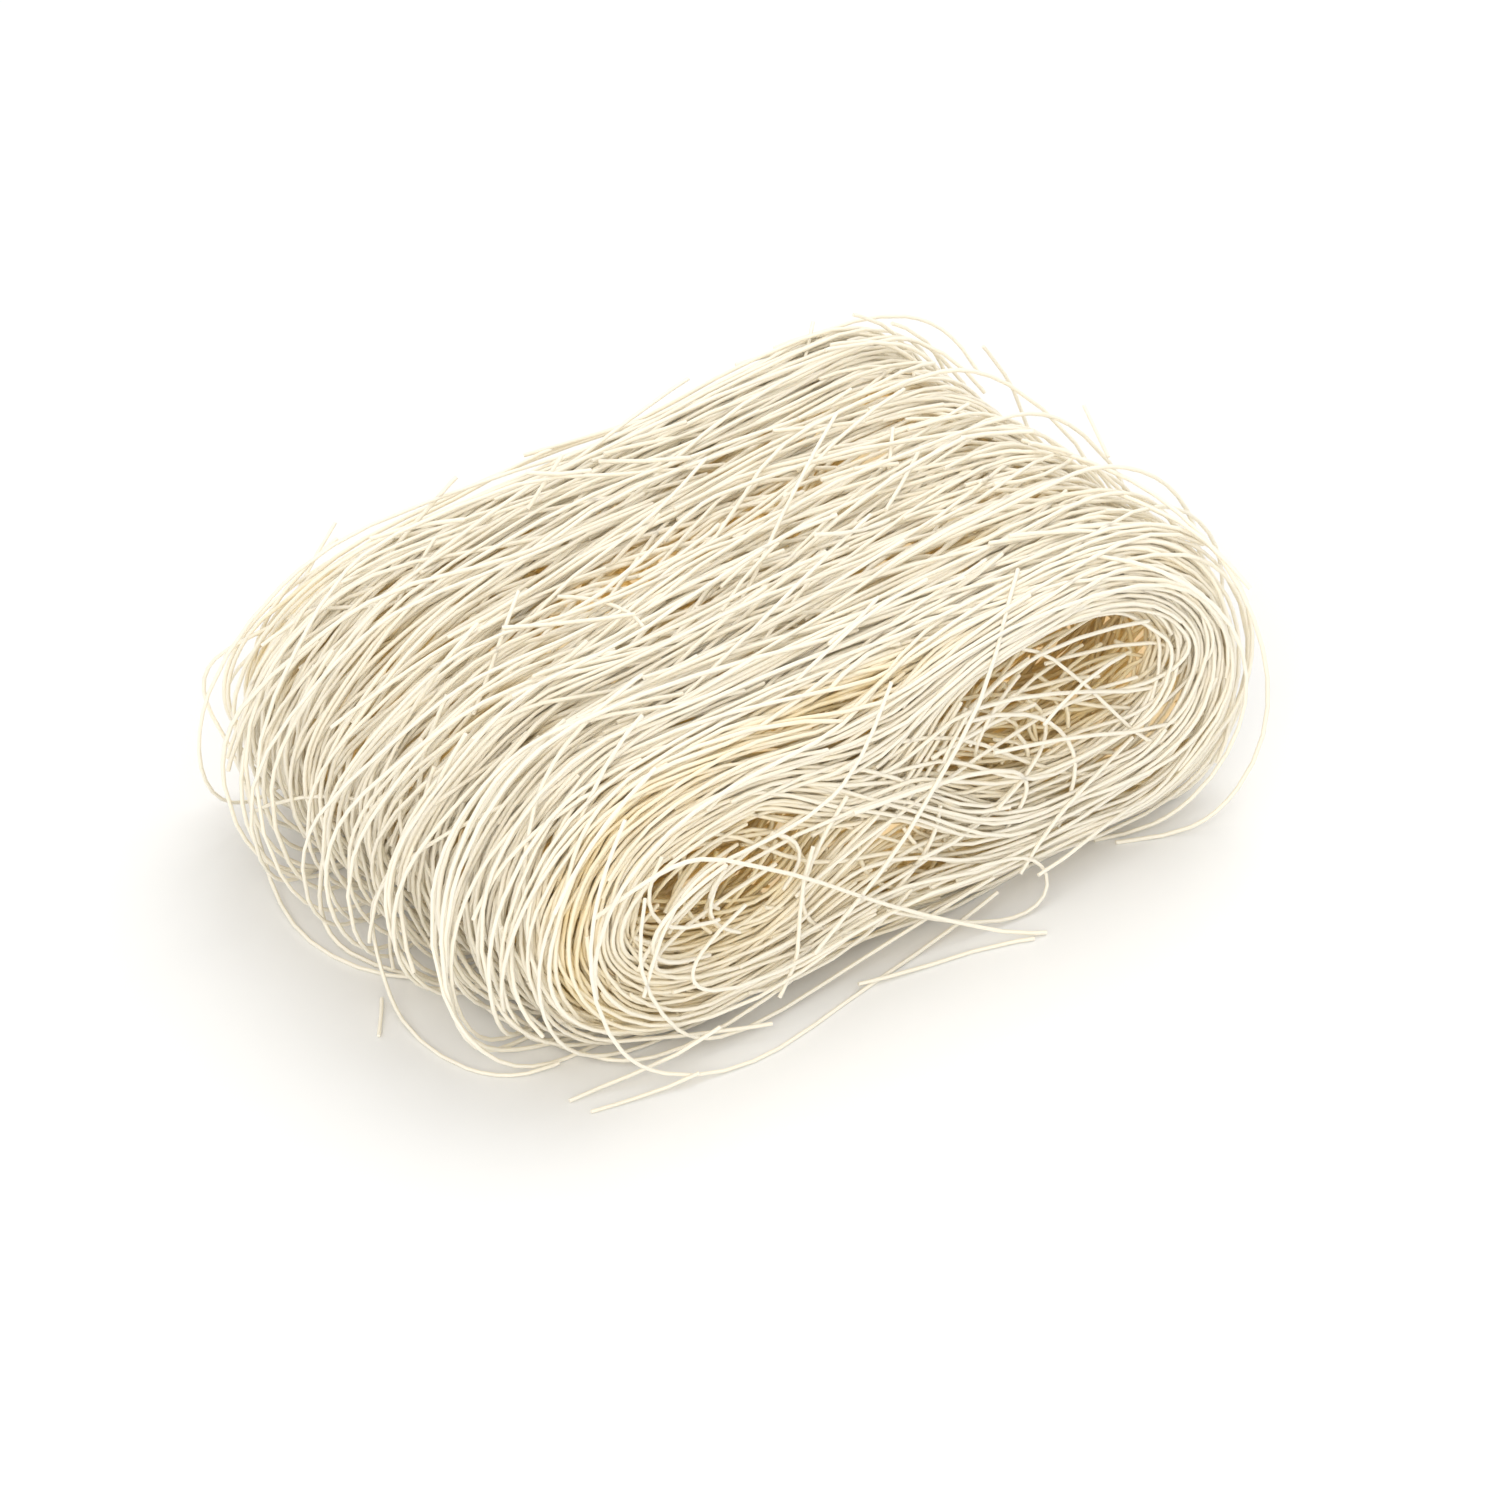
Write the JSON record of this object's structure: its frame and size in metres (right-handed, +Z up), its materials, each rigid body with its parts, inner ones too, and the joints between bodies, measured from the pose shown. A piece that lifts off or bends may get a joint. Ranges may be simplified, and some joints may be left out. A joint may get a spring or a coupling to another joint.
{
  "type": "bundle of dried rice vermicelli",
  "caption": "Flat wound bundle of thin dried rice noodles, low and oblong, with round turns at its ends and an open eye inside each turn on its long faces.",
  "frame": {"origin": "under the middle of the bundle, on the surface it lies on", "axes": "+X along the strands, towards the slightly wider end; +Y across the winding, away from the face with the larger eyes; +Z up through the thickness"},
  "size_m": [0.112, 0.078, 0.041],
  "materials": {
    "dried_vermicelli": "dry, cream and slightly translucent, with a soft satin sheen"
  },
  "bodies": {
    "root": {"vermicelli_bundle": "dried_vermicelli"}
  },
  "joints": []
}
